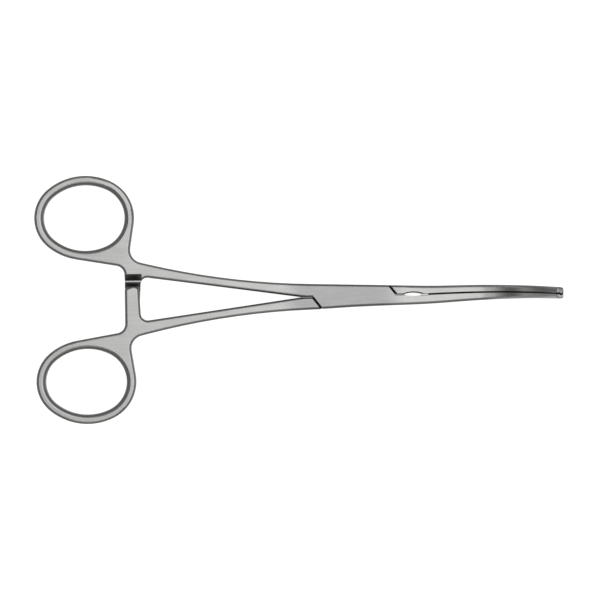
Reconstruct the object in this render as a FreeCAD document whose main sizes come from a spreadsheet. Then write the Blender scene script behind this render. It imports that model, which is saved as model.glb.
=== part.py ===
import FreeCAD, Part
import math
import os
import Sketcher
from FreeCAD import Vector

# Peripheral vascular clamp: two crossed halves in a box lock, held by one flush pin.
# Frame in millimetres: the origin is the pivot at the underside, +X runs to the jaw tips,
# +Y to the ring of the box half, and +Z up from the face that the clamp rests on.

# Driving dimensions, each with its meaning
SIZES = (
    ("body_thickness", 4.8, "thickness of rings, box and jaw roots"),
    ("rim_round", 0.85, "rounding of the outer edges of rings, shanks, box and jaws"),
    ("ring_reach", 86.2, "pivot to ring centre along the clamp"),
    ("ring_offset", 26.27, "clamp axis to ring centre"),
    ("ring_hole_length", 25.9, "finger hole along the clamp"),
    ("ring_hole_width", 21.0, "finger hole across the clamp"),
    ("ring_back_radius", 8.9, "finger hole end away from the shank"),
    ("ring_front_radius", 9.9, "finger hole end beside the shank"),
    ("ring_wall", 3.05, "width of the ring's band"),
    ("ring_inner_round", 1.35, "rounding round the finger hole"),
    ("neck_lean", 9.0, "degrees by which the ring's neck leans inwards"),
    ("neck_round", 4.2, "rounding between ring and shank"),
    ("shank_start", 20.2, "ring centre to the shank's ring end, along the clamp"),
    ("shank_start_outer", 11.17, "axis to outer edge at the ring end"),
    ("shank_middle", 45.0, "pivot to the shank's slimmest place"),
    ("shank_middle_outer", 6.98, "axis to outer edge there"),
    ("shank_end", 14.1, "pivot to the shank's box end"),
    ("shank_end_outer", 4.15, "axis to outer edge at the box end"),
    ("shank_inner", 7.15, "axis to inner edge at the ratchet arm"),
    ("crotch_reach", 17.0, "pivot to where the shanks part"),
    ("arm_back", 12.7, "ring centre to the ratchet arm's far side, along the clamp"),
    ("arm_front", 17.85, "ring centre to the arm's near side"),
    ("arm_lean", 0.55, "narrowing of the arm's near side at its tip"),
    ("arm_reach", 4.1, "tip of the ratchet arm past the axis"),
    ("arm_root", 10.35, "axis to the corner of ring and arm"),
    ("arm_root_round", 3.0, "rounding of that corner"),
    ("arm_fillet", 2.2, "fillet between arm and shank"),
    ("step_start", 8.1, "axis to the top of the step to the thin arm"),
    ("step_end", 5.95, "axis to the foot of that step"),
    ("arm_floor", 1.8, "thickness of the thin arm between its teeth"),
    ("rack_first", 5.7, "axis to the steep side of the outermost tooth"),
    ("rack_pitch", 1.9, "spacing of the ratchet teeth"),
    ("rack_count", 5, "teeth on each arm"),
    ("rack_height", 0.53, "height of a ratchet tooth"),
    ("rack_crest", 0.2, "flat top of a ratchet tooth"),
    ("lock_angle", 38.0, "degrees from the axis to the normal of the shoulders"),
    ("lock_reach", 10.75, "pivot to the middle of the shoulder joint"),
    ("lock_gap", 0.36, "width of the shoulder joint"),
    ("lock_chamfer", 0.45, "chamfer at the box's rear edges and at the jaw's shoulder"),
    ("tongue_thickness", 1.7, "thickness of the tongue in the box"),
    ("tongue_play", 0.05, "running clearance on each broad side of the tongue"),
    ("hub_radius", 3.35, "round middle of the tongue"),
    ("hub_play", 0.1, "clearance round the tongue's middle"),
    ("stop_angle", 62.0, "degrees of opening at which the tongue meets the box"),
    ("tongue_flare", 3.0, "degrees by which the tongue widens towards its shank"),
    ("pin_radius", 1.5, "shank of the lock pin"),
    ("pin_head_radius", 1.85, "countersunk ends of the lock pin"),
    ("pin_play", 0.05, "running clearance of the pin in the tongue"),
    ("mate_rear", -0.1, "mating line behind the box"),
    ("mate_front", 0.38, "mating line at the jaw root"),
    ("mate_gap", 0.08, "gap along the mating line beside the box"),
    ("jaw_root", 14.0, "pivot to the jaw root"),
    ("window_start", 16.0, "pivot to the start of the window between the jaws"),
    ("window_end", 22.0, "pivot to its end"),
    ("window_upper", 0.5, "depth of the window in the upper jaw"),
    ("window_lower", 0.42, "depth of the window in the lower jaw"),
    ("window_round", 0.4, "rounding along the window's upper arch"),
    ("jaw_gap", 0.24, "gap between the closed jaws"),
    ("bow_place", 44.0, "pivot to the crest of the jaws' sideways bow"),
    ("bow_height", 0.76, "mating line at that crest"),
    ("bow_radius_root", 480.0, "sideways bow towards the root"),
    ("bow_radius_tip", 258.0, "sideways bow towards the tip"),
    ("upper_middle_width", 2.35, "upper jaw half way"),
    ("upper_tip_width", 2.2, "upper jaw at its tip"),
    ("lower_box_width", 3.45, "axis to the box's lower edge at the pivot"),
    ("lower_box_rear", 4.0, "axis to the box's lower edge at its rear shoulder"),
    ("lower_root_width", 3.45, "lower jaw at its root"),
    ("lower_middle_width", 2.6, "lower jaw half way"),
    ("lower_tip_width", 1.5, "lower jaw at its tip"),
    ("bend_start", 41.0, "pivot to where the jaws begin to curve up"),
    ("bend_radius", 31.6, "radius of the jaws' underside"),
    ("bend_angle", 55.0, "degrees through which the jaws curve"),
    ("tip_thickness", 2.95, "thickness of the jaws at the tip"),
    ("tip_round", 0.75, "rounding of the tip's outer corners"),
    ("row_spacing", 0.8, "middle of the jaw to each row of the lower jaw"),
    ("row_half_width", 0.36, "half width of a row of teeth"),
    ("tooth_pitch", 0.95, "spacing of the jaw teeth"),
    ("tooth_length", 0.7, "length of a jaw tooth at its foot"),
    ("tooth_height", 0.38, "height of a jaw tooth"),
    ("tooth_crest", 0.24, "length and width of its flat top"),
    ("groove_depth", 0.36, "depth of the groove that takes the other jaw's row"),
    ("groove_half_width", 0.4, "half width of that groove"),
    ("row_start", 8.8, "jaw root to the start of the grooves, along the underside"),
)

doc = FreeCAD.newDocument("peripheral_vascular_clamp")
sheet = doc.addObject("Spreadsheet::Sheet", "sizes")
for row, (alias, value, meaning) in enumerate(SIZES, start=1):
    sheet.set("A%d" % row, alias)
    sheet.set("B%d" % row, str(value))
    sheet.set("C%d" % row, meaning)
    sheet.setAlias("B%d" % row, alias)
doc.recompute()


def size(alias):
    """A driving dimension read from the sheet."""
    return float(sheet.get(alias))


def expression(text):
    """An expression in which each word in braces is a driving dimension in millimetres."""
    return text.replace("{", "(sizes.").replace("}", " * 1 mm)")


def bind(feature, setting, text):
    """Ties a feature's setting to the sheet."""
    feature.setExpression(setting, expression(text))


# Plane geometry

def polar(centre, radius, degrees):
    """The point at an angle on a circle."""
    angle = math.radians(degrees)
    return centre + Vector(math.cos(angle), math.sin(angle), 0) * radius


def towards(start, end, distance):
    """The point at a distance from start in the direction of end."""
    way = end - start
    return start + way * (distance / way.Length)


def crossing(point_a, way_a, point_b, way_b):
    """The point where two straight lines cross."""
    gap = point_b - point_a
    share = (gap.x * way_b.y - gap.y * way_b.x) / (way_a.x * way_b.y - way_a.y * way_b.x)
    return point_a + way_a * share


def tangent_point(centre, radius, point):
    """Where the line from a point touches a circle, on the clockwise side as seen from it."""
    distance = (point - centre).Length
    heading = math.degrees(math.atan2(point.y - centre.y, point.x - centre.x))
    return polar(centre, radius, heading - math.degrees(math.acos(radius / distance)))


def bend_between(start, corner, end, radius):
    """The two ends and the middle of the arc that rounds a corner."""
    back = (start - corner).normalize()
    ahead = (end - corner).normalize()
    half = back.getAngle(ahead) / 2
    middle_way = (back + ahead).normalize()
    centre = corner + middle_way * (radius / math.sin(half))
    leave = corner + back * (radius / math.tan(half))
    join = corner + ahead * (radius / math.tan(half))
    return leave, centre - middle_way * radius, join


class Outline:
    """A closed run of lines, arcs and curves, drawn in order; flip -1 mirrors it in the X axis."""

    def __init__(self, start, flip=1):
        self.flip = flip
        self.start = self.place(start)
        self.at = self.start
        self.curves = []
        self.ends = []

    def place(self, point):
        return Vector(point.x, point.y * self.flip, 0)

    def add(self, curve, end, ends=(1, 2)):
        self.curves.append(curve)
        self.ends.append(ends)
        self.at = end

    def line(self, *points):
        for point in points:
            end = self.place(point)
            self.add(Part.LineSegment(self.at, end), end)
        return self

    def arc(self, middle, end):
        """An arc through a middle point; a sketch keeps each arc anticlockwise."""
        middle = self.place(middle)
        end = self.place(end)
        clockwise = (middle - self.at).cross(end - middle).z < 0
        if clockwise:
            self.add(Part.ArcOfCircle(end, middle, self.at), end, (2, 1))
        else:
            self.add(Part.ArcOfCircle(self.at, middle, end), end)
        return self

    def rounded(self, corners, end):
        """Straight runs through corners, each a point and its radius, up to the end."""
        points = [point for point, radius in corners] + [end]
        before = self.place(self.at)
        for index, (corner, radius) in enumerate(corners):
            leave, middle, join = bend_between(before, corner, points[index + 1], radius)
            self.line(leave)
            self.arc(middle, join)
            before = join
        return self.line(end)

    def curve(self, points, first_way, last_way):
        """A smooth curve through the points with given end directions."""
        through = [self.at] + [self.place(point) for point in points]
        spline = Part.BSplineCurve()
        spline.interpolate(Points=through, InitialTangent=self.place(first_way),
                           FinalTangent=self.place(last_way))
        self.add(spline, through[-1])
        return self

    def draw(self, sketch):
        """Puts the closed run into a sketch, each end joined to the next."""
        if (self.at - self.start).Length > 1e-6:
            self.add(Part.LineSegment(self.at, self.start), self.start)
        first = sketch.GeometryCount
        sketch.addGeometry(self.curves, False)
        count = len(self.curves)
        joins = []
        for index in range(count):
            after = (index + 1) % count
            joins.append(Sketcher.Constraint("Coincident", first + index, self.ends[index][1],
                                             first + after, self.ends[after][0]))
        sketch.addConstraint(joins)


# Features of a body

def origin_plane(body, role):
    """One of a body's own origin planes."""
    for plane in body.Origin.OriginFeatures:
        if plane.Role == role:
            return plane
    raise RuntimeError("no plane " + role)


def new_sketch(body, name, role, height="0 mm"):
    """A sketch on an origin plane of its body, moved along the plane's normal."""
    sketch = body.newObject("Sketcher::SketchObject", name)
    sketch.AttachmentSupport = (origin_plane(body, role), [""])
    sketch.MapMode = "FlatFace"
    bind(sketch, "AttachmentOffset.Base.z", height)
    doc.recompute()
    return sketch


def pad(body, name, sketch, length):
    """Adds the sketch's area, upwards from its plane."""
    feature = body.newObject("PartDesign::Pad", name)
    feature.Profile = sketch
    bind(feature, "Length", length)
    doc.recompute()
    return feature


def pocket(body, name, sketch, length, both_ways=False):
    """Cuts the sketch's area, down from its plane or to both sides of it."""
    before = body.Tip.Shape.Volume
    feature = body.newObject("PartDesign::Pocket", name)
    feature.Profile = sketch
    if both_ways:
        feature.SideType = "Symmetric"
    bind(feature, "Length", length)
    doc.recompute()
    if feature.Shape.Volume > before - 1e-3:
        raise RuntimeError(name + " cuts nothing")
    return feature


def edge_names(shape, wanted):
    """The names of the edges between an upright side and a broad face that a test picks."""
    names = []
    for number, edge in enumerate(shape.Edges, start=1):
        middle = edge.valueAt((edge.FirstParameter + edge.LastParameter) / 2)
        walls = 0
        for face in shape.ancestorsOfType(edge, Part.Face):
            if abs(face.normalAt(*face.Surface.parameter(middle)).z) < 0.1:
                walls += 1
        if walls == 1 and wanted(middle):
            names.append("Edge%d" % number)
    return names


def dress(body, kind, name, wanted, measure, value):
    """A fillet or chamfer on the edges that a test picks."""
    base = body.Tip
    feature = body.newObject("PartDesign::" + kind, name)
    names = edge_names(base.Shape, wanted)
    if not names:
        raise RuntimeError(name + " finds no edge")
    feature.Base = (base, names)
    bind(feature, measure, value)
    doc.recompute()
    if "Invalid" in feature.State or feature.Shape.isNull():
        raise RuntimeError(name + " fails on " + " ".join(names))
    return feature


# Shapes that both halves share

AHEAD = Vector(1, 0, 0)
JAW_SPANS = 5
thickness = size("body_thickness")
half_gap = size("mate_gap") / 2
lock_normal = polar(Vector(), 1, size("lock_angle"))
lock_way = polar(Vector(), 1, size("lock_angle") + 90)
wall_reach = size("lock_reach") - size("lock_gap") / 2
shoulder_reach = size("lock_reach") + size("lock_gap") / 2
bend = math.radians(size("bend_angle"))
jaw_run = size("bend_start") - size("jaw_root") + size("bend_radius") * bend
tip_reach = size("bend_start") + size("bend_radius") * math.sin(bend)
tip_rise = size("bend_radius") * (1 - math.cos(bend))
overall_height = tip_rise + size("tip_thickness") * math.cos(bend)
blank_height = overall_height + 1
beyond_tip = tip_reach + 3
box_overrun = size("window_start") - 0.5
tongue_overrun = (size("hub_radius") + shoulder_reach) / 2
cut_side = 2 * size("shank_end_outer")
far_reach = size("ring_reach") + size("ring_hole_length")
far_side = size("ring_offset") + size("ring_hole_width")


def mating_line(x):
    """Sideways place of the joint between the closed jaws."""
    radius = size("bow_radius_root") if x < size("bow_place") else size("bow_radius_tip")
    run = x - size("bow_place")
    return size("bow_height") - radius + math.sqrt(radius ** 2 - run ** 2)


def jaw_width(x, root, middle, tip):
    """Width of a jaw, a smooth taper through its widths at root, middle and tip."""
    share = (x - size("jaw_root")) / (tip_reach - size("jaw_root"))
    return (root * (1 - share) * (1 - 2 * share) + middle * 4 * share * (1 - share)
            + tip * share * (2 * share - 1))


def shoulder_point(reach, point, way):
    """Where a straight edge meets the slanted shoulder at a signed distance from the pivot."""
    return crossing(lock_normal * reach, lock_way, point, way)


def oval(centre, offset):
    """The finger ring's oval of four tangent arcs, enlarged by an offset, as centres and radii."""
    half_length = size("ring_hole_length") / 2
    half_width = size("ring_hole_width") / 2
    back = size("ring_back_radius")
    front = size("ring_front_radius")
    back_rise = half_width - back
    front_rise = half_width - front
    span = 2 * half_length - back - front
    slack = 1 - front_rise / back_rise
    rest = span ** 2 - front_rise ** 2 + front_rise * back_rise
    run = rest / (span + math.sqrt(span ** 2 - slack * rest))
    drop = (run ** 2 - back_rise ** 2) / (2 * back_rise)
    back_centre = centre + Vector(back - half_length, 0, 0)
    front_centre = centre + Vector(half_length - front, 0, 0)
    low_side = back_centre + Vector(run, drop, 0)
    high_side = back_centre + Vector(run, -drop, 0)
    side_radius = half_width + drop + offset
    return {
        "back": (back_centre, back + offset),
        "front": (front_centre, front + offset),
        "low": (low_side, side_radius),
        "high": (high_side, side_radius),
    }


def oval_joint(arcs, side, end):
    """The point where a long side arc of the oval meets an end arc."""
    centre, radius = arcs[side]
    return towards(centre, arcs[end][0], radius)


def on_arc(arc, start, end):
    """The middle of the shorter way round an arc from start to end."""
    centre, radius = arc
    return towards(centre, (start + end) / 2, radius)


ring_centre = Vector(-size("ring_reach"), size("ring_offset"), 0)
arm_near = ring_centre.x + size("arm_front")
arm_far = ring_centre.x + size("arm_back")
shank_start = Vector(ring_centre.x + size("shank_start"), size("shank_start_outer"), 0)
shank_middle = Vector(-size("shank_middle"), size("shank_middle_outer"), 0)
shank_end = Vector(-size("shank_end"), size("shank_end_outer"), 0)
shank_arc = Part.ArcOfCircle(shank_start, shank_middle, shank_end)
shank_start_way = (shank_start - shank_arc.Center).cross(Vector(0, 0, 1)).normalize()
shank_end_way = (shank_end - shank_arc.Center).cross(Vector(0, 0, -1)).normalize()


def handle_outline(crotch, flip):
    """The outline from the crotch round arm and ring to the box, in the +Y half, mirrored by flip."""
    band = oval(ring_centre, size("ring_wall"))
    reach = -size("arm_reach")
    inner_corner = Vector(arm_near, size("shank_inner"), 0)
    arm_root = Vector(arm_far, size("arm_root"), 0)
    corners = (
        (inner_corner, size("arm_fillet")),
        (Vector(arm_near - size("arm_lean"), reach + 0.25, 0), 1.2),
        (Vector((arm_near + arm_far) / 2, reach - 0.25, 0), 2.5),
        (Vector(arm_far, reach + 0.6, 0), 1.0),
        (arm_root, size("arm_root_round")),
    )
    low_centre, low_radius = band["low"]
    low_touch = tangent_point(low_centre, low_radius, arm_root)
    low_back = oval_joint(band, "low", "back")
    high_back = oval_joint(band, "high", "back")
    high_front = oval_joint(band, "high", "front")
    front_centre, front_radius = band["front"]
    neck = polar(front_centre, front_radius, -size("neck_lean"))
    neck_way = polar(Vector(), 1, -size("neck_lean") - 90)
    neck_corner = crossing(neck, neck_way, shank_start, shank_start_way)
    outline = Outline(crotch, flip)
    outline.rounded(corners, low_touch)
    outline.arc(on_arc(band["low"], low_touch, low_back), low_back)
    outline.arc(polar(band["back"][0], band["back"][1], 180), high_back)
    outline.arc(on_arc(band["high"], high_back, high_front), high_front)
    outline.arc(on_arc(band["front"], high_front, neck), neck)
    outline.rounded(((neck_corner, size("neck_round")),), shank_start)
    outline.arc(shank_middle, shank_end)
    return outline


def jaw_face(outline, jaw_side):
    """The gripping side of a jaw from its root past the tip; jaw_side is 1 on the upper jaw."""
    gap = jaw_side * size("jaw_gap") / 2
    depth = size("window_upper") if jaw_side > 0 else -size("window_lower")
    start = Vector(size("window_start"), size("mate_front") + jaw_side * half_gap, 0)
    places = (size("window_end"), size("bow_place"), beyond_tip)
    end, crest, beyond = [Vector(x, mating_line(x) + gap, 0) for x in places]
    root_way_x = (places[0] + places[1]) / 2
    tip_way_x = (places[1] + places[2]) / 2
    outline.line(start)
    outline.arc((start + end) / 2 + Vector(0, depth, 0), end)
    outline.arc(Vector(root_way_x, mating_line(root_way_x) + gap, 0), crest)
    outline.arc(Vector(tip_way_x, mating_line(tip_way_x) + gap, 0), beyond)
    return outline


def jaw_stations(jaw_side, root, middle, tip):
    """Places along the outer edge of a jaw, from past the tip back to the root."""
    reach = beyond_tip - size("jaw_root")
    stations = []
    for index in range(JAW_SPANS):
        x = beyond_tip - reach * index / JAW_SPANS
        width = jaw_width(x, root, middle, tip)
        stations.append(Vector(x, mating_line(x) + jaw_side * width, 0))
    stations.append(Vector(size("jaw_root"), size("mate_front") + jaw_side * root, 0))
    return stations


def box_half_outline():
    """Plan of the box half's forging, with spare metal where its walls are milled later."""
    rear_mate = size("mate_rear") + half_gap
    front_mate = size("mate_front") - half_gap
    across = Vector(0, 1, 0)
    overrun = Vector(box_overrun, 0, 0)
    crotch = Vector(-size("crotch_reach"), rear_mate, 0)
    arm_corner = Vector(arm_near, size("shank_inner"), 0)
    outline = handle_outline(crossing(crotch, arm_corner - crotch, overrun * -1, across), 1)
    outline.line(crossing(shank_end, shank_end_way, overrun, across),
                 Vector(box_overrun, front_mate, 0))
    jaw_face(outline, -1)
    stations = jaw_stations(-1, size("lower_root_width"), size("lower_middle_width"),
                            size("lower_tip_width"))
    under_pivot = Vector(0, -size("lower_box_width"), 0)
    box_corner = Vector(-size("lock_reach"), -size("lower_box_rear"), 0)
    outline.line(stations[0])
    outline.curve(stations[1:] + [under_pivot, box_corner], stations[1] - stations[0],
                  box_corner - under_pivot)
    outline.line(crossing(under_pivot, box_corner - under_pivot, overrun * -1, across))
    return outline


def tongue_half_outline():
    """Plan of the tongue half's forging, with spare metal round the tongue."""
    rear_mate = size("mate_rear") - half_gap
    front_mate = size("mate_front") + half_gap
    across = Vector(0, 1, 0)
    overrun = Vector(tongue_overrun, 0, 0)
    outline = handle_outline(Vector(-size("crotch_reach"), -rear_mate, 0), -1)
    outline.line(crossing(shank_end, shank_end_way, overrun, across))
    outline.flip = 1
    outline.line(Vector(tongue_overrun, front_mate, 0))
    jaw_face(outline, 1)
    upper_edge = crossing(shank_end, shank_end_way, Vector(size("jaw_root"), 0, 0), across)
    stations = jaw_stations(1, upper_edge.y - size("mate_front"), size("upper_middle_width"),
                            size("upper_tip_width"))
    outline.line(stations[0])
    outline.curve(stations[1:], stations[1] - stations[0], shank_end_way * -1)
    outline.line(crossing(shank_end, shank_end_way, overrun * -1, across),
                 Vector(-tongue_overrun, rear_mate, 0))
    return outline


def bend_point(angle, depth):
    """A place in the curved jaws: angle along the bend in radians, depth above the underside."""
    radius = size("bend_radius") - depth
    return Vector(size("bend_start") + radius * math.sin(angle),
                  size("bend_radius") - radius * math.cos(angle), 0)


def jaw_thickness(run):
    """Thickness at a distance along the jaw's underside from the root."""
    return thickness + (size("tip_thickness") - thickness) * run / jaw_run


def side_point(run, share):
    """Place and upward way at a run along the underside, at a share of the thickness."""
    straight = size("bend_start") - size("jaw_root")
    depth = jaw_thickness(run) * share
    if run <= straight:
        return Vector(size("jaw_root") + run, depth, 0), 0.0
    angle = (run - straight) / size("bend_radius")
    return bend_point(angle, depth), angle


def top_cut_outline():
    """Side view of what is cut away above the rings, shanks, box and jaws."""
    outline = Outline(Vector(-far_reach, thickness, 0))
    outline.line(Vector(size("jaw_root"), thickness, 0))
    stations = [side_point(jaw_run * index / JAW_SPANS, 1)[0] for index in range(1, JAW_SPANS + 1)]
    outline.curve(stations, AHEAD, Vector(math.cos(bend), math.sin(bend), 0))
    outline.line(bend_point(bend, 0), bend_point(bend, -2), Vector(beyond_tip + 1, tip_rise, 0),
                 Vector(beyond_tip + 1, blank_height + 1, 0),
                 Vector(-far_reach, blank_height + 1, 0))
    return outline


def under_cut_outline():
    """Side view of what is cut away below the curved jaws."""
    outline = Outline(Vector(size("bend_start"), -1, 0))
    outline.line(Vector(size("bend_start"), 0, 0))
    outline.arc(bend_point(bend / 2, 0), bend_point(bend, 0))
    outline.line(Vector(beyond_tip + 1, tip_rise, 0), Vector(beyond_tip + 1, -1, 0))
    return outline


def finger_hole(flip):
    """Plan of the hole in a finger ring."""
    hole = oval(ring_centre, 0)
    corners = [oval_joint(hole, side, end) for side, end in
               (("low", "back"), ("high", "back"), ("high", "front"), ("low", "front"))]
    outline = Outline(corners[0], flip)
    outline.arc(polar(hole["back"][0], hole["back"][1], 180), corners[1])
    outline.arc(on_arc(hole["high"], corners[1], corners[2]), corners[2])
    outline.arc(polar(hole["front"][0], hole["front"][1], 0), corners[3])
    outline.arc(on_arc(hole["low"], corners[3], corners[0]), corners[0])
    return outline


def on_tip_end(middle):
    """Whether a place lies in the end face of the jaws."""
    corner = bend_point(bend, 0)
    way = Vector(math.cos(bend), 0, math.sin(bend))
    return abs((middle - Vector(corner.x, 0, corner.y)).dot(way)) < 0.01


def on_mating_side(middle):
    """Whether a place is on the side that faces the other half, in box or jaws."""
    if middle.x < -size("crotch_reach"):
        return False
    if middle.x < size("window_start") + 0.01:
        line = size("mate_rear") if middle.x < 0 else size("mate_front")
        return abs(middle.y - line) < 2 * half_gap
    return abs(middle.y - mating_line(middle.x)) < size("window_upper") + size("jaw_gap") + 0.3


def round_rims(body, name, flip, overrun):
    """Rounds the outer rims, the finger hole and the outer edges of the tip."""
    centre = Vector(ring_centre.x, ring_centre.y * flip, 0)
    inner_reach = size("ring_hole_length") / 2 + 0.1
    inner_side = size("ring_hole_width") / 2 + 0.1

    def in_hole(middle):
        from_centre = Vector(middle.x, middle.y, 0) - centre
        return from_centre.Length < inner_reach and abs(from_centre.y) < inner_side

    def on_rim(middle):
        if on_tip_end(middle) or in_hole(middle) or on_mating_side(middle):
            return False
        return abs(abs(middle.x) - overrun) > 0.01

    def on_tip_rim(middle):
        return on_tip_end(middle) and abs(middle.y - mating_line(middle.x)) > size("jaw_gap")

    dress(body, "Fillet", name + "_rims", on_rim, "Radius", "{rim_round}")
    dress(body, "Fillet", name + "_hole_rims", in_hole, "Radius", "{ring_inner_round}")
    dress(body, "Fillet", name + "_tip_rims", on_tip_rim, "Radius", "{tip_round}")


def forged_blank(name, outline, flip, overrun):
    """The half as forged: its plan, its side view, the finger hole and the rounded rims."""
    body = doc.addObject("PartDesign::Body", name)
    plan = new_sketch(body, name + "_plan", "XY_Plane")
    outline.draw(plan)
    pad(body, name + "_forging", plan, "%.3f mm" % blank_height)
    above = new_sketch(body, name + "_top_view", "XZ_Plane")
    top_cut_outline().draw(above)
    pocket(body, name + "_top_cut", above, "%.3f mm" % (4 * far_side), True)
    below = new_sketch(body, name + "_under_view", "XZ_Plane")
    under_cut_outline().draw(below)
    pocket(body, name + "_under_cut", below, "%.3f mm" % (4 * far_side), True)
    hole = new_sketch(body, name + "_hole_plan", "XY_Plane", "{body_thickness} + 1 mm")
    finger_hole(flip).draw(hole)
    pocket(body, name + "_finger_hole", hole, "{body_thickness} + 2 mm")
    round_rims(body, name, flip, overrun)
    return body


def on_shoulder(reach):
    """A test for straight edges along a slanted shoulder at a signed distance from the pivot."""
    def test(middle):
        on_line = abs(middle.dot(lock_normal) - reach) < 0.01
        return on_line and min(middle.z, thickness - middle.z) < 0.01
    return test


def bound_polygon(sketch, vertices):
    """A closed run of lines whose vertices are expressions of driving dimensions."""
    places = []
    for pair in vertices:
        values = [sketch.evalExpression(expression(text)) for text in pair]
        x, y = [getattr(value, "Value", value) for value in values]
        places.append(Vector(x, y, 0))
    first = sketch.GeometryCount
    count = len(places)
    for index, place in enumerate(places):
        sketch.addGeometry(Part.LineSegment(place, places[(index + 1) % count]), False)
    for index in range(count):
        after = first + (index + 1) % count
        sketch.addConstraint(Sketcher.Constraint("Coincident", first + index, 2, after, 1))
    for index, (pair, place) in enumerate(zip(vertices, places)):
        for kind, text, value in (("DistanceX", pair[0], place.x), ("DistanceY", pair[1], place.y)):
            number = sketch.addConstraint(
                Sketcher.Constraint(kind, -1, 1, first + index, 1, value))
            bind(sketch, "Constraints[%d]" % number, text)


def bound_circle(sketch, radius):
    """A circle on the pivot axis whose radius is an expression of driving dimensions."""
    value = sketch.evalExpression(expression(radius))
    number = sketch.addGeometry(
        Part.Circle(Vector(), Vector(0, 0, 1), getattr(value, "Value", value)), False)
    sketch.addConstraint(Sketcher.Constraint("Coincident", number, 3, -1, 1))
    rule = sketch.addConstraint(
        Sketcher.Constraint("Radius", number, getattr(value, "Value", value)))
    bind(sketch, "Constraints[%d]" % rule, radius)


# The rows of fine teeth

def along_mating_line(outline, offset, places):
    """Two arcs beside the mating line, through three places along the clamp."""
    for start, end in zip(places, places[1:]):
        middle = (start + end) / 2
        outline.arc(Vector(middle, mating_line(middle) + offset, 0),
                    Vector(end, mating_line(end) + offset, 0))
    return outline


def row_point(run, offset):
    """Side view of a place in a row: run along the jaw, offset from the middle of its thickness."""
    point, angle = side_point(run, 0.5)
    return point + Vector(-math.sin(angle), math.cos(angle), 0) * offset, angle


def groove_band(row_offset):
    """Side view of a groove: a band that follows the curved jaw and runs out at its tip."""
    spans = 2 * JAW_SPANS
    start = size("row_start")
    runs = [start + (jaw_run - start) * index / spans for index in range(spans + 1)]
    low = [row_point(run, row_offset - size("groove_half_width"))[0] for run in runs]
    high = [row_point(run, row_offset + size("groove_half_width"))[0] for run in runs]
    tip_way = Vector(math.cos(bend), math.sin(bend), 0)
    outline = Outline(low[0])
    outline.curve(low[1:], AHEAD, tip_way)
    outline.line(low[-1] + tip_way, high[-1] + tip_way, high[-1])
    outline.curve(high[-2::-1], tip_way * -1, AHEAD * -1)
    return outline


def groove_strip(jaw_side):
    """Plan of the metal within a groove's depth of a jaw's gripping face."""
    places = (size("jaw_root"), size("bow_place"), beyond_tip)
    face = jaw_side * size("jaw_gap") / 2
    floor = face + jaw_side * size("groove_depth")
    outline = Outline(Vector(places[0], mating_line(places[0]), 0))
    outline.line(Vector(places[0], mating_line(places[0]) + floor, 0))
    along_mating_line(outline, floor, places)
    outline.line(Vector(beyond_tip, mating_line(beyond_tip), 0))
    return along_mating_line(outline, 0, places[::-1])


def extrusion(name, role, outline, low, high):
    """A sketch's area as a solid between two heights along its plane's normal."""
    sketch = doc.addObject("Sketcher::SketchObject", name + "_sketch")
    if role == "side":
        sketch.Placement.Rotation = FreeCAD.Rotation(AHEAD, 90)
    outline.draw(sketch)
    solid = doc.addObject("Part::Extrusion", name)
    solid.Base = sketch
    solid.DirMode = "Normal"
    solid.LengthFwd = high
    solid.LengthRev = -low
    solid.Solid = True
    return solid


def groove(name, jaw_side, row_offset):
    """The groove in a jaw that takes one row of the other jaw's teeth."""
    band = extrusion(name + "_band", "side", groove_band(row_offset), -far_side, far_side)
    strip = extrusion(name + "_strip", "plan", groove_strip(jaw_side), -1, blank_height)
    cutter = doc.addObject("Part::MultiCommon", name)
    cutter.Shapes = [band, strip]
    return cutter


def tooth_row(jaw_side, row_offset):
    """A row of small teeth along a jaw's gripping face; the upper jaw's stand between the lower's."""
    root = size("tooth_height") / 4
    first = 1.1 if jaw_side > 0 else 0.6
    height = size("tooth_height")
    crest = size("tooth_crest") / 2
    grow = 1 + root / height
    half_width = crest + (size("row_half_width") - crest) * grow
    half_length = crest + (size("tooth_length") / 2 - crest) * grow
    teeth = []
    count = int((jaw_run - size("row_start")) / size("tooth_pitch") - first)
    for index in range(count):
        run = jaw_run - (index + first) * size("tooth_pitch")
        place, angle = row_point(run, row_offset)
        slope = (mating_line(place.x + 0.1) - mating_line(place.x - 0.1)) / 0.2
        outwards = Vector(slope, -1, 0).normalize() * jaw_side
        ahead = Vector(math.cos(angle), slope * math.cos(angle), math.sin(angle)).normalize()
        tooth = Part.makeWedge(-half_length, -root, -half_width, -crest, -crest,
                               half_length, height, half_width, crest, crest)
        face = mating_line(place.x) + jaw_side * size("jaw_gap") / 2
        turned = FreeCAD.Rotation(ahead, outwards, ahead.cross(outwards), "XYZ")
        tooth.Placement = FreeCAD.Placement(Vector(place.x, face, place.y), turned)
        teeth.append(tooth)
    return teeth


def dress_jaw(name, body, jaw_side, row_offsets, groove_offsets):
    """Cuts the grooves into a jaw's gripping face and sets its rows of teeth on it."""
    cutters = [groove("%s_groove_%d" % (name, index), jaw_side, offset)
               for index, offset in enumerate(groove_offsets, start=1)]
    base = body
    for index, cutter in enumerate(cutters, start=1):
        grooved = doc.addObject("Part::Cut", "%s_grooved_%d" % (name, index))
        grooved.Base = base
        grooved.Tool = cutter
        base = grooved
    rows = doc.addObject("Part::Feature", name + "_rows")
    teeth = []
    for offset in row_offsets:
        teeth.extend(tooth_row(jaw_side, offset))
    rows.Shape = Part.makeCompound(teeth)
    whole = doc.addObject("Part::MultiFuse", name)
    whole.Shapes = [base, rows]
    doc.recompute()
    return whole


# The box half

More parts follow.
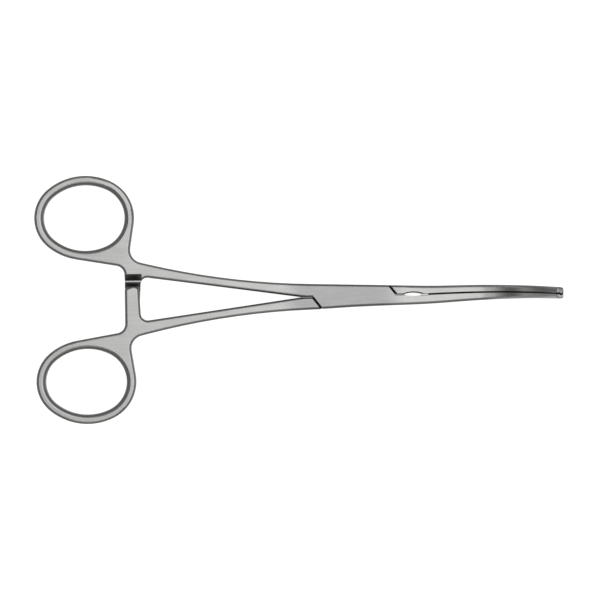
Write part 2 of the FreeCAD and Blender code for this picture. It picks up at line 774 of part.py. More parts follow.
def mill_walls(body):
    """The two slanted ends of the box's walls, beside the other half's shoulders."""
    front_mate = Vector(0, size("mate_front") - half_gap, 0)
    rear_mate = Vector(0, size("mate_rear") + half_gap, 0)
    above = new_sketch(body, "wall_plan", "XY_Plane", "{body_thickness} + 1 mm")
    top = Vector(0, cut_side, 0)
    beyond = Vector(size("window_start"), 0, 0)
    behind = Vector(-size("crotch_reach") - 1, 0, 0)
    front = Outline(shoulder_point(wall_reach, top, AHEAD))
    front.line(shoulder_point(wall_reach, front_mate, AHEAD), beyond + front_mate, beyond + top)
    front.draw(above)
    rear = Outline(shoulder_point(-wall_reach, top * -1, AHEAD))
    rear.line(shoulder_point(-wall_reach, rear_mate, AHEAD), behind + rear_mate, behind - top)
    rear.draw(above)
    pocket(body, "wall_cut", above, "{body_thickness} + 2 mm")


def mill_slot(body):
    """The slot through the box, in which the tongue turns up to its stops."""
    radius = size("hub_radius") + size("hub_play")
    stop = size("stop_angle")
    rear = size("mate_rear") + half_gap
    front = size("mate_front") - half_gap
    beyond = size("window_start")
    upper_stop = polar(Vector(), radius, 90 + stop)
    lower_stop = polar(Vector(), radius, stop - 90)
    upper_way = polar(Vector(), 1, stop)
    lower_way = polar(Vector(), 1, 180 + stop + size("tongue_flare"))
    upper_far = crossing(upper_stop, upper_way, Vector(0, cut_side, 0), AHEAD)
    lower_far = crossing(lower_stop, lower_way, Vector(0, -cut_side, 0), AHEAD)
    rear_hub = Vector(-math.sqrt(radius ** 2 - rear ** 2), rear, 0)
    front_hub = Vector(math.sqrt(radius ** 2 - front ** 2), front, 0)
    outline = Outline(Vector(-beyond, rear, 0))
    outline.line(rear_hub)
    outline.arc(on_arc((Vector(), radius), rear_hub, upper_stop), upper_stop)
    outline.line(upper_far, Vector(beyond, cut_side, 0), Vector(beyond, front, 0), front_hub)
    outline.arc(on_arc((Vector(), radius), front_hub, lower_stop), lower_stop)
    outline.line(lower_far, Vector(-beyond, -cut_side, 0))
    plan = new_sketch(body, "slot_plan", "XY_Plane",
                      "({body_thickness} + {tongue_thickness}) / 2 + {tongue_play}")
    outline.draw(plan)
    pocket(body, "slot", plan, "{tongue_thickness} + 2 * {tongue_play}")


def pin_profile(sketch):
    """Half of the pin's section, with a countersunk head at each end."""
    head = "{pin_head_radius} - {pin_radius}"
    bound_polygon(sketch, (
        ("0 mm", "0 mm"),
        ("{pin_head_radius}", "0 mm"),
        ("{pin_radius}", head),
        ("{pin_radius}", "{body_thickness} - (" + head + ")"),
        ("{pin_head_radius}", "{body_thickness}"),
        ("0 mm", "{body_thickness}"),
    ))


def turn(body, kind, name):
    """A full turn of the pin's section about the pivot axis, added or cut away."""
    section = new_sketch(body, name + "_section", "XZ_Plane")
    pin_profile(section)
    feature = body.newObject("PartDesign::" + kind, name)
    feature.Profile = section
    feature.ReferenceAxis = (section, ["V_Axis"])
    feature.Angle = 360
    doc.recompute()
    return feature


def mill_rack(body, name, upper):
    """Thins the ratchet arm and leaves its row of saw teeth, steep side towards its own shank."""
    sign = "" if upper else "-"
    height = "%s" if upper else "{body_thickness} - (%s)"
    outside = "{body_thickness} + 1 mm"

    def vertex(across, up):
        return "%s(%s)" % (sign, across), height % up

    vertices = [
        vertex("{step_start}", outside),
        vertex("{step_start}", "{body_thickness}"),
        vertex("{step_end}", "{arm_floor}"),
    ]
    for index in range(int(size("rack_count"))):
        steep = "{rack_first} - %d * {rack_pitch}" % index
        vertices.append(vertex(steep, "{arm_floor}"))
        vertices.append(vertex(steep, "{arm_floor} + {rack_height}"))
        vertices.append(vertex(steep + " - {rack_crest}", "{arm_floor} + {rack_height}"))
        vertices.append(vertex(steep + " - 0.8 * {rack_pitch}", "{arm_floor}"))
    vertices.append(vertex("-{arm_reach} - 1 mm", "{arm_floor}"))
    vertices.append(vertex("-{arm_reach} - 1 mm", outside))
    section = new_sketch(body, name + "_rack_section", "YZ_Plane", "{arm_front} - {ring_reach} + 0.4 mm")
    bound_polygon(section, vertices)
    pocket(body, name + "_rack", section, "{arm_front} - {arm_back} + 1.4 mm")


def build_box_half():
    """Upper ring, upper shank, box and lower jaw, in one forging."""
    body = forged_blank("box_forging", box_half_outline(), 1, box_overrun)
    mill_walls(body)
    dress(body, "Chamfer", "wall_edges", on_shoulder(-wall_reach), "Size", "{lock_chamfer}")
    mill_slot(body)
    turn(body, "Groove", "pin_seat")
    mill_rack(body, "lower_arm", True)
    return dress_jaw("box_half", body, -1, (-size("row_spacing"), size("row_spacing")), (0,))


# The tongue half

def mill_tongue(body):
    """The thin tongue between two slanted shoulders, round in its middle."""
    hub = size("hub_radius")
    rear = size("mate_rear") - half_gap
    front = size("mate_front") + half_gap
    corners = [shoulder_point(reach, Vector(0, side * cut_side, 0), AHEAD)
               for reach, side in ((-shoulder_reach, -1), (-shoulder_reach, 1),
                                   (shoulder_reach, 1), (shoulder_reach, -1))]
    lap = Outline(corners[0]).line(*corners[1:])
    over = new_sketch(body, "tongue_top_plan", "XY_Plane", "{body_thickness} + 1 mm")
    lap.draw(over)
    pocket(body, "tongue_top", over, "({body_thickness} - {tongue_thickness}) / 2 + 1 mm")
    under = new_sketch(body, "tongue_under_plan", "XY_Plane",
                       "({body_thickness} - {tongue_thickness}) / 2")
    Outline(corners[0]).line(*corners[1:]).draw(under)
    pocket(body, "tongue_under", under, "({body_thickness} - {tongue_thickness}) / 2 + 1 mm")
    flare_way = polar(Vector(), 1, 180 + size("tongue_flare"))
    hub_front = Vector(math.sqrt(hub ** 2 - front ** 2), front, 0)
    hub_rear = Vector(-math.sqrt(hub ** 2 - rear ** 2), rear, 0)
    lower = Outline(corners[0])
    lower.line(shoulder_point(-shoulder_reach, Vector(0, -hub, 0), flare_way), Vector(0, -hub, 0))
    lower.arc(on_arc((Vector(), hub), Vector(0, -hub, 0), hub_front), hub_front)
    lower.line(shoulder_point(shoulder_reach, Vector(0, front, 0), AHEAD), corners[3])
    upper = Outline(corners[2])
    upper.line(shoulder_point(shoulder_reach, Vector(0, hub, 0), AHEAD), Vector(0, hub, 0))
    upper.arc(on_arc((Vector(), hub), Vector(0, hub, 0), hub_rear), hub_rear)
    upper.line(shoulder_point(-shoulder_reach, Vector(0, rear, 0), AHEAD), corners[1])
    sides = new_sketch(body, "tongue_side_plan", "XY_Plane", "{body_thickness}")
    lower.draw(sides)
    upper.draw(sides)
    pocket(body, "tongue_sides", sides, "{body_thickness}")
    bore = new_sketch(body, "pin_bore_plan", "XY_Plane", "{body_thickness}")
    bound_circle(bore, "{pin_radius} + {pin_play}")
    pocket(body, "pin_bore", bore, "{body_thickness}")


def mill_shoulder_edges(body):
    """Chamfers the upper and the lower edge of the jaw's shoulder, in a plane square to it."""
    chamfer = size("lock_chamfer")
    for face, level, way in (("top", thickness, 1), ("under", 0, -1)):
        sketch = new_sketch(body, "shoulder_%s_section" % face, "XZ_Plane")
        square = FreeCAD.Rotation(Vector(0, 1, 0), size("lock_angle"))
        sketch.AttachmentOffset = FreeCAD.Placement(Vector(), square)
        bind(sketch, "AttachmentOffset.Rotation.Angle", "{lock_angle} / 1 mm * 1 deg")
        foot = Vector(shoulder_reach, level - way * chamfer, 0)
        outside = Vector(shoulder_reach, level + way, 0)
        Outline(foot).line(outside + Vector(chamfer + 1, 0, 0), outside, foot).draw(sketch)
        doc.recompute()
        pocket(body, "shoulder_" + face, sketch, "4 * {shank_end_outer}", True)


def on_window_arch(middle):
    """Whether a place is on the upper jaw's side of the window."""
    if not size("window_start") < middle.x < size("window_end"):
        return False
    return 0.1 < middle.y - mating_line(middle.x) < size("window_upper") + size("jaw_gap") + 0.3


def build_tongue_half():
    """Lower ring, lower shank, tongue and upper jaw, in one forging."""
    body = forged_blank("tongue_forging", tongue_half_outline(), -1, tongue_overrun)
    dress(body, "Fillet", "window_rims", on_window_arch, "Radius", "{window_round}")
    mill_tongue(body)
    mill_shoulder_edges(body)
    mill_rack(body, "upper_arm", False)
    return dress_jaw("tongue_half", body, 1, (0,), (-size("row_spacing"), size("row_spacing")))


def build_pin():
    """The pin that holds the tongue in the box, ground flush at both ends."""
    body = doc.addObject("PartDesign::Body", "lock_pin")
    turn(body, "Revolution", "pin")
    return body


# The clamp, closed

pieces = (
    ("box_half", build_box_half()),
    ("tongue_half", build_tongue_half()),
    ("lock_pin", build_pin()),
)
for label, piece in pieces:
    piece.Label = label
    piece.Placement = FreeCAD.Placement()
doc.recompute()

for item in doc.Objects:
    if "Invalid" in item.State or "Error" in item.State:
        raise RuntimeError(item.Name + " failed")
for label, piece in pieces:
    if piece.Shape.isNull() or not piece.Shape.isValid() or len(piece.Shape.Solids) != 1:
        raise RuntimeError(label + " is not one sound solid")

os.makedirs("parts", exist_ok=True)
for label, piece in pieces:
    piece.Shape.exportStep("parts/%s.step" % label)
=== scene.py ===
"""Peripheral vascular clamp in satin steel, on a plain white floor, seen from straight above."""

import logging
import math
from dataclasses import dataclass
from enum import Enum
from typing import Any, Union

import bmesh
import bpy
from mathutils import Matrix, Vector

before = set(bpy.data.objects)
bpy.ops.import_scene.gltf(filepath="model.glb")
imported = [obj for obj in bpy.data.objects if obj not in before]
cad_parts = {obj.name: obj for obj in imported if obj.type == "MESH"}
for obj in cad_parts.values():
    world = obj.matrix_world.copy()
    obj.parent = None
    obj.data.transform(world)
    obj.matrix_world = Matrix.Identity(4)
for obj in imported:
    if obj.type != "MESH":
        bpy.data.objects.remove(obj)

LOG = logging.getLogger("clamp")
Colour = tuple[float, float, float, float]
Span = tuple[float, float]
Value = Union[float, "Wire"]
WHITE: Colour = (1.0, 1.0, 1.0, 1.0)


class Part(Enum):
    """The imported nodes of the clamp."""

    BOX_HALF = "box_half"
    TONGUE_HALF = "tongue_half"
    LOCK_PIN = "lock_pin"


class Wire:
    """One output socket of a shader, on which sums can be written as plain expressions."""

    def __init__(self, tree: "Tree", socket: Union[bpy.types.NodeSocket, None]) -> None:
        """Keeps the output socket and the tree that it belongs to."""
        self.tree = tree
        self.socket = socket

    def _math(self, operation: str, *operands: Value) -> "Wire":
        """Adds one Math node, whose operands are wires or numbers."""
        inputs = dict(enumerate(operands))
        return self.tree.node("ShaderNodeMath", {"operation": operation}, inputs)

    def __add__(self, other: Value) -> "Wire":
        """Sum."""
        return self._math("ADD", self, other)

    def __radd__(self, other: Value) -> "Wire":
        """Sum, from the right."""
        return self._math("ADD", other, self)

    def __sub__(self, other: Value) -> "Wire":
        """Difference."""
        return self._math("SUBTRACT", self, other)

    def __rsub__(self, other: Value) -> "Wire":
        """Difference, from the right."""
        return self._math("SUBTRACT", other, self)

    def __mul__(self, other: Value) -> "Wire":
        """Product."""
        return self._math("MULTIPLY", self, other)

    def __rmul__(self, other: Value) -> "Wire":
        """Product, from the right."""
        return self._math("MULTIPLY", other, self)

    def __truediv__(self, other: Value) -> "Wire":
        """Quotient."""
        return self._math("DIVIDE", self, other)

    def __rtruediv__(self, other: Value) -> "Wire":
        """Quotient, from the right."""
        return self._math("DIVIDE", other, self)

    def __abs__(self) -> "Wire":
        """Size without sign."""
        return self._math("ABSOLUTE", self)

    def highest(self, other: Value) -> "Wire":
        """The larger of two values."""
        return self._math("MAXIMUM", self, other)

    def raised(self, floor: float) -> "Wire":
        """A value from 0 to 1, squeezed into the stretch from a floor to 1."""
        return floor + self * (1.0 - floor)

    def step(self, low: float, high: float) -> "Wire":
        """A smooth step from 0 to 1.

        Args:
            low: Where the step begins.
            high: Where it ends.

        Returns:
            The step's value.
        """
        return self.tree.node(
            "ShaderNodeMapRange",
            {"interpolation_type": "SMOOTHSTEP"},
            {"Value": self, "From Min": low, "From Max": high, "To Min": 0.0, "To Max": 1.0},
            "Result",
        )


class Tree:
    """The shader nodes of one material or of the world."""

    NOISE_ROUGHNESS = 0.55

    def __init__(self, owner: Union[bpy.types.Material, bpy.types.World]) -> None:
        """Starts an empty tree.

        Args:
            owner: The material or world.
        """
        owner.use_nodes = True
        self.nodes = owner.node_tree.nodes
        self.links = owner.node_tree.links
        self.nodes.clear()

    def node(
        self,
        kind: str,
        settings: dict[str, Any],
        inputs: dict[Union[str, int], Any],
        output: Union[str, int] = 0,
    ) -> Wire:
        """Makes any node.

        Args:
            kind: The node's type.
            settings: Its own settings, or a ramp's stops under the name stops.
            inputs: Values or wires by socket name or number.
            output: The socket that is handed back.

        Returns:
            The chosen output.
        """
        made = self.nodes.new(kind)
        for name, value in settings.items():
            if name == "stops":
                self._set_stops(made, value)
            else:
                setattr(made, name, value)
        for name, value in inputs.items():
            if isinstance(value, Wire):
                self.links.new(value.socket, made.inputs[name])
            else:
                made.inputs[name].default_value = value
        return Wire(self, made.outputs[output] if len(made.outputs) else None)

    @staticmethod
    def _set_stops(ramp: bpy.types.Node, stops: tuple[Span, ...]) -> None:
        """Gives a ramp its grey stops.

        Args:
            ramp: The ramp node.
            stops: Place and grey value of each stop.
        """
        elements = ramp.color_ramp.elements
        while len(elements) < len(stops):
            elements.new(1.0)
        for element, (place, grey) in zip(elements, stops):
            element.position = place
            element.color = (grey, grey, grey, 1.0)

    def place(self) -> tuple[Wire, Wire, Wire, Wire]:
        """Object coordinates.

        Returns:
            The whole vector and its X, Y and Z, in metres.
        """
        vector = self.node("ShaderNodeTexCoord", {}, {}, "Object")
        parts = [
            self.node("ShaderNodeSeparateXYZ", {}, {"Vector": vector}, axis) for axis in "XYZ"
        ]
        return (vector, *parts)

    def facing(self) -> Wire:
        """How far a surface faces straight up or down: 1 on the flats, 0 on the sides."""
        normal = self.node("ShaderNodeTexCoord", {}, {}, "Normal")
        return abs(self.node("ShaderNodeSeparateXYZ", {}, {"Vector": normal}, "Z"))

    def noise(self, vector: Wire, size: float, length: float, detail: float) -> Wire:
        """Cloudy noise of a real size.

        Args:
            vector: The place that it is read at.
            size: Width of one cloud in metres.
            length: How many times longer it is along the clamp.
            detail: Number of finer layers.

        Returns:
            The noise, from 0 to 1.
        """
        scale = (1.0 / (size * length), 1.0 / size, 1.0 / size)
        mapped = self.node("ShaderNodeMapping", {}, {"Vector": vector, "Scale": scale}, "Vector")
        return self.node(
            "ShaderNodeTexNoise",
            {"noise_dimensions": "3D"},
            {
                "Vector": mapped,
                "Scale": 1.0,
                "Detail": detail,
                "Roughness": self.NOISE_ROUGHNESS,
            },
            "Fac",
        )

    def blend(self, share: Value, first: Any, second: Any) -> Wire:
        """A colour between two others.

        Args:
            share: How much of the second.
            first: Colour or wire.
            second: Colour or wire.

        Returns:
            The colour.
        """
        return self.node(
            "ShaderNodeMix", {"data_type": "RGBA"}, {0: share, 6: first, 7: second}, 2
        )


@dataclass(frozen=True)
class Joints:
    """Painted shade where the two halves meet or face each other, in metres.

    That is the slanted shoulders with their chamfers, the mating line with the crotch behind the
    box, the window behind the jaws, and the fork between the shanks. A span is a stretch along
    an axis, or a soft edge from nothing to full.
    """

    lean: float = math.radians(38.0)
    shoulder: float = 0.01075
    slot_edge: Span = (0.00032, 0.00020)
    slot_side: Span = (-0.0007, -0.0005)
    inside: Span = (0.0004, 0.0044)
    inside_fade: float = 0.0001
    jaw_chamfer: Span = (0.01092, 0.01138)
    box_chamfer: Span = (-0.01058, -0.01012)
    chamfer_fade: float = 0.00004
    chamfer_margin: float = 0.00008
    chamfer_level: Span = (0.00185, 0.00195)
    chamfer_share: float = 0.55
    half_thickness: float = 0.0024
    crotch: Span = (-0.0197, -0.0132)
    crotch_start: Span = (-0.0197, -0.0165)
    crotch_width: Span = (0.00062, 0.00044)
    rear_line: float = -0.0001
    root: Span = (0.0134, 0.0162)
    front_line: float = 0.00038
    line_fade: float = 0.0003
    jaws: Span = (0.0212, 0.0700)
    jaws_fade: float = 0.0004
    line_width: Span = (0.00040, 0.00018)
    crest: float = 0.044
    crest_edge: Span = (-0.0001, 0.0001)
    bow: float = 0.00076
    bow_radii: Span = (0.480, 0.258)
    bend: Span = (0.0430, 0.0462)
    bend_fade: float = 0.003
    window: Span = (0.0159, 0.0221)
    window_fade: float = 0.0001
    arch_middle: Span = (0.019, -0.00835)
    arch_radius: float = 0.00925
    arch_width: Span = (-0.0002, 0.0003)
    arch_fade: float = 0.00012
    fork: Span = (-0.0664, -0.0172)
    fork_fade: float = 0.0008
    fork_spread: float = 0.00699
    fork_edge: Span = (0.00056, 0.00034)
    fork_strength: Span = (0.95, 0.50)

    @staticmethod
    def between(place: Wire, limits: Span, soft: float) -> Wire:
        """A mask that is 1 between two limits of a coordinate, with soft ends outside them."""
        return place.step(limits[0] - soft, limits[0]) * place.step(limits[1] + soft, limits[1])

    def shoulders(self, along: Wire, across: Wire, up: Wire) -> Wire:
        """Painted shade in the narrow slots at both slanted shoulders, and more faintly on their
        chamfers.

        Args:
            along: X.
            across: Y.
            up: Z.

        Returns:
            The mask, 1 in the slots.
        """
        reach = along * math.cos(self.lean) + across * math.sin(self.lean)
        slot = abs(abs(reach) - self.shoulder).step(*self.slot_edge)
        slot = slot * self.between(up, self.inside, self.inside_fade)
        slot = slot * (across * reach / self.shoulder).step(*self.slot_side)
        before = self.between(reach, self.jaw_chamfer, self.chamfer_fade)
        before = before * across.step(self.front_line - self.chamfer_margin, self.front_line)
        behind = self.between(reach, self.box_chamfer, self.chamfer_fade)
        behind = behind * across.step(self.rear_line + self.chamfer_margin, self.rear_line)
        edge = abs(up - self.half_thickness).step(*self.chamfer_level)
        return slot.highest(before.highest(behind) * edge * self.chamfer_share)

    def line(self, along: Wire, across: Wire) -> Wire:
        """Painted shade along the thin line where the halves touch, and along the edge of the
        window's upper arch.

        Args:
            along: X.
            across: Y.

        Returns:
            The mask, 1 on the line.
        """
        far = along - self.crest
        rear, front = (0.5 / radius for radius in self.bow_radii)
        curve = rear + far.step(*self.crest_edge) * (front - rear)
        bowed = self.bow - far * far * curve
        mask = abs(across - bowed).step(*self.line_width)
        mask = mask * self.between(along, self.jaws, self.jaws_fade)
        beside = abs(across - self.front_line).step(*self.line_width)
        mask = mask.highest(beside * self.between(along, self.root, self.line_fade))
        beside = abs(across - self.rear_line).step(*self.crotch_width)
        beside = beside * self.between(along, self.crotch, self.line_fade)
        mask = mask.highest(beside * along.step(*self.crotch_start))
        far = along - self.arch_middle[0]
        out = across - self.arch_middle[1]
        beyond = (far * far + out * out) / (2 * self.arch_radius) - self.arch_radius / 2
        arch = self.between(beyond, self.arch_width, self.arch_fade)
        return mask.highest(arch * self.between(along, self.window, self.window_fade))

    def inner_edges(self, along: Wire, across: Wire) -> Wire:
        """Painted shade along the edges of the two shanks that face each other.

        Args:
            along: X.
            across: Y.

        Returns:
            The mask, strongest at the crotch and weaker towards the rings.
        """
        far, near = self.fork
        crotch_strength, ring_strength = self.fork_strength
        share = (along - near) / (far - near)
        edge = abs(abs(across) - share * self.fork_spread).step(*self.fork_edge)
        edge = edge * self.between(along, self.fork, self.fork_fade)
        return edge * (crotch_strength - share * (crotch_strength - ring_strength))


@dataclass(frozen=True)
class ArmStep:
    """Painted shade on the slope from a ring's full thickness down to its thin ratchet arm, and in
    the hollow beyond it, in metres.
    """

    side: float
    top: Span = (0.0081, 0.0048)
    foot: Span = (0.00595, 0.0018)
    limits: Span = (-0.0740, -0.0678)
    limits_fade: float = 0.0006
    slope_edge: Span = (0.00022, 0.00010)
    slope_level: Span = (0.0022, 0.0046)
    slope_share: float = 0.85
    hollow: Span = (0.0024, 0.0054)
    beneath: Span = (-0.0016, 0.0024)
    beneath_share: float = 0.9
    fade: float = 0.0002
    hollow_floor: Span = (0.0012, 0.0025)
    floor_fade: float = 0.0001
    thickness: float = 0.0048

    def mask(self, along: Wire, across: Wire, up: Wire) -> Wire:
        """Painted shade on the slope's face and on the floor of the hollow beyond its foot.

        Args:
            along: X.
            across: Y.
            up: Z.

        Returns:
            The mask, strongest in the hollow.
        """
        out = across * self.side
        level = up if self.side > 0 else self.thickness - up
        run = Vector((self.top[0] - self.foot[0], self.top[1] - self.foot[1])).normalized()
        gap = abs((out - self.top[0]) * run.y - (level - self.top[1]) * run.x)
        slope = gap.step(*self.slope_edge) * Joints.between(level, self.slope_level, self.fade)
        floor = Joints.between(out, self.hollow, self.fade)
        floor = floor.highest(Joints.between(out, self.beneath, self.fade) * self.beneath_share)
        floor = floor * Joints.between(level, self.hollow_floor, self.floor_fade)
        stretch = Joints.between(along, self.limits, self.limits_fade)
        return (slope * self.slope_share).highest(floor) * stretch


@dataclass(frozen=True)
class Speckle:
    """One layer of unevenness in a finish: its real size, and its weight in tone and gloss."""

    size: float
    length: float
    detail: float
    tone_weight: float
    gloss_weight: float
    tone_middle: float = 0.5
    gloss_middle: float = 0.5

    def draw(self, tree: Tree, vector: Wire) -> Wire:
        """Makes the layer's noise, from 0 to 1."""
        return tree.noise(vector, self.size, self.length, self.detail)

    def tone(self, noise: Wire) -> Wire:
        """The layer's change of tone, above or below 0."""
        return (noise - self.tone_middle) * self.tone_weight

    def gloss(self, noise: Wire) -> Wire:
        """The layer's change of roughness, above or below 0."""
        return (noise - self.gloss_middle) * self.gloss_weight


@dataclass(frozen=True)
class SatinSteel:
    """Satin stainless steel, with its grain and the small unevenness of a hand finish, and with
    painted shade in its joints, along its rims, on its bent jaws, on the arm's step and along the
    fork's inner edges.

    The spans named steep, flat and walls are of facing: 1 where the surface lies flat, 0 where
    it stands upright.
    """

    name: str
    step: Union[ArmStep, None] = None
    joints: Joints = Joints()
    # shadow is the colour that the painted shade blends towards.
    shadow: Colour = (0.016, 0.016, 0.017, 1.0)
    tone: Colour = (0.665, 0.662, 0.655, 1.0)
    shade: Colour = (0.47, 0.47, 0.47, 1.0)
    fine: Speckle = Speckle(
        size=0.00022, length=1.0, detail=3.0, tone_weight=0.3, gloss_weight=0.10
    )
    cloud: Speckle = Speckle(
        size=0.006, length=2.0, detail=2.0, tone_weight=0.5, gloss_weight=0.06, tone_middle=0.45
    )
    streak: Speckle = Speckle(
        size=0.00035, length=22.0, detail=2.0, tone_weight=0.35, gloss_weight=0.06
    )
    lock_middle: float = -0.003
    lock_edge: Span = (0.021, 0.012)
    lock_darkening: float = 0.95
    # From here to fork_wall_share: how the painted shade falls on walls, at the crotch, on the
    # rims, on the bent jaws and their onset, on the arm's step and on the fork's walls.
    wall_share: float = 0.45
    crotch_edge: Span = (-0.0120, -0.0130)
    crotch_share: float = 0.85
    rim: float = 0.62
    rim_steep: Span = (0.15, 0.45)
    rim_flat: Span = (0.97, 0.90)
    curved: Span = (0.042, 0.047)
    curved_rim_flat: Span = (0.95, 0.75)
    upper_jaw: Span = (0.0, 0.0007)
    lower_jaw_share: float = 0.4
    bend: float = 0.24
    bend_flat: Span = (0.80, 0.95)
    step_share: float = 0.6
    fork_walls: Span = (0.05, 0.35)
    fork_wall_share: float = 0.35
    roughness: float = 0.26
    dark_roughness: float = 0.2
    bump_strength: float = 0.35
    bump_height: float = 0.0000012

    def _rims(self, along: Wire, across: Wire, facing: Wire) -> Wire:
        """Painted shade on the rounded rims, over more of the bent jaws and most on the upper one,
        and across the flats where the jaws begin to bend upwards.

        Args:
            along: X.
            across: Y.
            facing: How far the surface faces straight up or down.

        Returns:
            The mask.
        """
        curved = along.step(*self.curved)
        upper = across.step(*self.upper_jaw).raised(self.lower_jaw_share)
        edges = facing.step(*self.rim_flat) * (1.0 - curved)
        edges = edges + facing.step(*self.curved_rim_flat) * curved * upper
        rims = facing.step(*self.rim_steep) * edges * self.rim
        onset = self.joints.between(along, self.joints.bend, self.joints.bend_fade)
        return rims.highest(onset * facing.step(*self.bend_flat) * self.bend)

    def _painted_shade(self, along: Wire, across: Wire, up: Wire, facing: Wire, cloud: Wire) -> Wire:
        """How much painted shade the steel has: joints, rims, bent jaws, the arm's step and the
        fork's edges.

        Args:
            along: X.
            across: Y.
            up: Z.
            facing: How far the surface faces straight up or down.
            cloud: The slow unevenness.

        Returns:
            The share of painted shade, from 0 to 1.
        """
        dark = self.joints.shoulders(along, across, up).highest(self.joints.line(along, across))
        walls = facing.raised(self.wall_share)
        dark = dark * walls.highest(along.step(*self.crotch_edge) * self.crotch_share)
        dark = dark.highest(self._rims(along, across, facing))
        if self.step is None:
            return dark
        dark = dark.highest(self.step.mask(along, across, up) * cloud.raised(self.step_share))
        fork = self.joints.inner_edges(along, across)
        return dark.highest(fork * facing.step(*self.fork_walls).raised(self.fork_wall_share))

    def material(self) -> bpy.types.Material:
        """Makes the material.

        Returns:
            The steel.
        """
        made = bpy.data.materials.new(self.name)
        tree = Tree(made)
        vector, along, across, up = tree.place()
        fine = self.fine.draw(tree, vector)
        cloud = self.cloud.draw(tree, vector)
        streak = self.streak.draw(tree, vector)
        # Blends towards the darker colour over the lock box and fades along the shanks and jaw
        # roots; the finish's random unevenness is added to it.
        darkening = abs(along - self.lock_middle).step(*self.lock_edge) * self.lock_darkening
        darkening = darkening + self.cloud.tone(cloud) + self.streak.tone(streak) + self.fine.tone(fine)
        # The painted shade darkens the base colour towards the shadow colour, and roughens it a
        # little.
        dark = self._painted_shade(along, across, up, tree.facing(), cloud)
        steel = tree.blend(darkening.highest(0.0), self.tone, self.shade)
        rough = self.roughness + self.fine.gloss(fine) + self.cloud.gloss(cloud)
        rough = rough + self.streak.gloss(streak) + dark * self.dark_roughness
        normal = tree.node(
            "ShaderNodeBump",
            {},
            {"Strength": self.bump_strength, "Distance": self.bump_height, "Height": fine},
            "Normal",
        )
        shader = tree.node(
            "ShaderNodeBsdfPrincipled",
            {},
            {
                "Base Color": tree.blend(dark, steel, self.shadow),
                "Metallic": 1.0,
                "Roughness": rough,
                "Normal": normal,
            },
        )
        tree.node("ShaderNodeOutputMaterial", {}, {"Surface": shader})
        return made


@dataclass(frozen=True)
class WhiteFloor:
    """A white surface that camera and metal see as the photograph's blank ground."""

    name: str = "white_floor"
    paint: Colour = (0.9, 0.9, 0.9, 1.0)
    glow: float = 0.9
    mirrored: float = 0.40

    def material(self) -> bpy.types.Material:
        """Makes the material.

        Returns:
            The floor's white.
        """
        made = bpy.data.materials.new(self.name)
        tree = Tree(made)
        seen = tree.node("ShaderNodeLightPath", {}, {}, "Is Camera Ray")
        mirrored = tree.node("ShaderNodeLightPath", {}, {}, "Is Glossy Ray")
        through = tree.node("ShaderNodeLightPath", {}, {}, "Is Transmission Ray")
        share = seen.highest(mirrored * self.mirrored).highest(through)
        matte = tree.node("ShaderNodeBsdfDiffuse", {}, {"Color": self.paint})
        light = tree.node("ShaderNodeEmission", {}, {"Strength": share * self.glow})
        both = tree.node("ShaderNodeAddShader", {}, {0: matte, 1: light})
        below = tree.node("ShaderNodeNewGeometry", {}, {}, "Backfacing")
        clear = tree.node("ShaderNodeBsdfTransparent", {}, {})
        surface = tree.node("ShaderNodeMixShader", {}, {0: below, 1: both, 2: clear})
        tree.node("ShaderNodeOutputMaterial", {}, {"Surface": surface})
        return made


def dress_node(part: Part, material: bpy.types.Material) -> None:
    """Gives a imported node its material.

    Args:
        part: The node.
        material: Its finish.
    """
    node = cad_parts[part.value]
    if not node.material_slots:
        node.data.materials.append(material)
    for slot in node.material_slots:
        slot.material = material
    LOG.info("%s: %d faces, %s", node.name, len(node.data.polygons), material.name)


@dataclass
class BoxHalf:
    """Upper ring, upper shank, lower-lying ratchet arm, box and lower jaw."""

    finish: SatinSteel = SatinSteel("box_half_steel", ArmStep(1.0))

    def build(self) -> None:
        """Dresses the forging."""
        dress_node(Part.BOX_HALF, self.finish.material())


@dataclass
class TongueHalf:
    """Lower ring, lower shank, upper-lying ratchet arm, tongue and upper jaw."""

    finish: SatinSteel = SatinSteel("tongue_half_steel", ArmStep(-1.0))

    def build(self) -> None:
        """Dresses the forging."""
        dress_node(Part.TONGUE_HALF, self.finish.material())


@dataclass
class LockPin:
    """The pin through the box, ground flush."""

    finish: SatinSteel = SatinSteel("lock_pin_steel")

    def build(self) -> None:
        """Dresses the pin."""
        dress_node(Part.LOCK_PIN, self.finish.material())


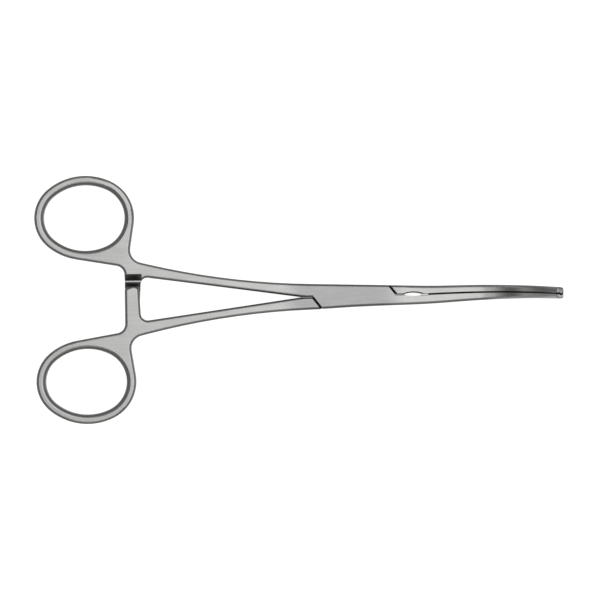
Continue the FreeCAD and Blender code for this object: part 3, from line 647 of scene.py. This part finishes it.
@dataclass
class Studio:
    """White floor, soft box overhead, small card beyond the tip, dim room and the camera."""

    floor_size: float = 12.0
    floor_drop: float = 0.00002
    lamp_size: float = 0.8
    lamp_height: float = 1.6
    lamp_place: Span = (0.145, 0.12)
    lamp_radiance: float = 0.69
    card_size: float = 0.3
    card_place: tuple[float, float, float] = (1.15, -0.1, 0.42)
    card_radiance: float = 1.3
    room: tuple[Span, ...] = ((0.0, 0.32), (0.16, 0.34), (0.49, 0.38), (0.8, 0.42))
    corner: Colour = (0.10, 0.10, 0.10, 1.0)
    corner_rise: Span = (0.62, 0.80)
    corner_side: Span = (-0.06, -0.24)
    lens: float = 225.0
    sensor: float = 36.0
    clip: Span = (0.05, 50.0)
    field_width: float = 0.19228
    aim: tuple[float, float, float] = (-0.01732, -0.000976, 0.0048)
    roll: float = -0.802

    def build(self) -> None:
        """Makes the whole setting."""
        self._floor()
        self._lamps()
        self._room()
        self._camera()

    def _floor(self) -> None:
        """Makes the floor that the clamp lies on."""
        shape = bmesh.new()
        bmesh.ops.create_grid(shape, x_segments=1, y_segments=1, size=self.floor_size / 2)
        bmesh.ops.translate(shape, vec=Vector((0.0, 0.0, -self.floor_drop)), verts=shape.verts)
        mesh = bpy.data.meshes.new("floor")
        shape.to_mesh(mesh)
        shape.free()
        floor = bpy.data.objects.new("floor", mesh)
        floor.data.materials.append(WhiteFloor().material())
        bpy.context.scene.collection.objects.link(floor)

    @staticmethod
    def _lamp(name: str, place: Vector, size: float, radiance: float) -> None:
        """Makes a square lamp that faces the clamp.

        Args:
            name: The lamp's name.
            place: Its middle.
            size: Its side.
            radiance: Its brightness as metal mirrors it.
        """
        data = bpy.data.lights.new(name, "AREA")
        data.shape = "SQUARE"
        data.size = size
        data.energy = radiance * math.pi * size ** 2
        lamp = bpy.data.objects.new(name, data)
        lamp.location = place
        lamp.rotation_euler = place.to_track_quat("Z", "Y").to_euler()
        lamp.visible_camera = False
        bpy.context.scene.collection.objects.link(lamp)

    def _lamps(self) -> None:
        """Hangs the soft box over the clamp and stands a small card beyond its tip."""
        above = Vector((*self.lamp_place, self.lamp_height))
        self._lamp("soft_box", above, self.lamp_size, self.lamp_radiance)
        self._lamp("tip_card", Vector(self.card_place), self.card_size, self.card_radiance)

    def _room(self) -> None:
        """Makes the room that the metal mirrors, dark behind the rings and white to the camera."""
        world = bpy.data.worlds.new("room")
        bpy.context.scene.world = world
        tree = Tree(world)
        way = tree.node("ShaderNodeTexCoord", {}, {}, "Generated")
        rise = tree.node("ShaderNodeSeparateXYZ", {}, {"Vector": way}, "Z")
        side = tree.node("ShaderNodeSeparateXYZ", {}, {"Vector": way}, "X")
        walls = tree.node("ShaderNodeValToRGB", {"stops": self.room}, {"Fac": rise}, "Color")
        corner = rise.step(*self.corner_rise) * side.step(*self.corner_side)
        walls = tree.blend(corner, walls, self.corner)
        seen = tree.node("ShaderNodeLightPath", {}, {}, "Is Camera Ray")
        colour = tree.blend(seen, walls, WHITE)
        light = tree.node("ShaderNodeBackground", {}, {"Color": colour, "Strength": 1.0})
        tree.node("ShaderNodeOutputWorld", {}, {"Surface": light})

    def _camera(self) -> None:
        """Sets the camera straight above, as in the photograph."""
        data = bpy.data.cameras.new("camera")
        data.type = "PERSP"
        data.sensor_width = self.sensor
        data.lens = self.lens
        distance = self.field_width * self.lens / self.sensor
        data.clip_start, data.clip_end = self.clip
        camera = bpy.data.objects.new("camera", data)
        camera.location = Vector(self.aim) + Vector((0.0, 0.0, distance))
        camera.rotation_euler = (0.0, 0.0, math.radians(self.roll))
        bpy.context.scene.collection.objects.link(camera)
        bpy.context.scene.camera = camera


def main() -> None:
    """Dresses the clamp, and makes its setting."""
    logging.basicConfig(level=logging.INFO, format="%(name)s: %(message)s")
    bpy.context.scene.view_settings.view_transform = "Standard"
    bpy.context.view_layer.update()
    for assembly in (BoxHalf(), TongueHalf(), LockPin(), Studio()):
        assembly.build()
        LOG.info("%s is made", type(assembly).__name__)


if __name__ == "__main__":
    main()
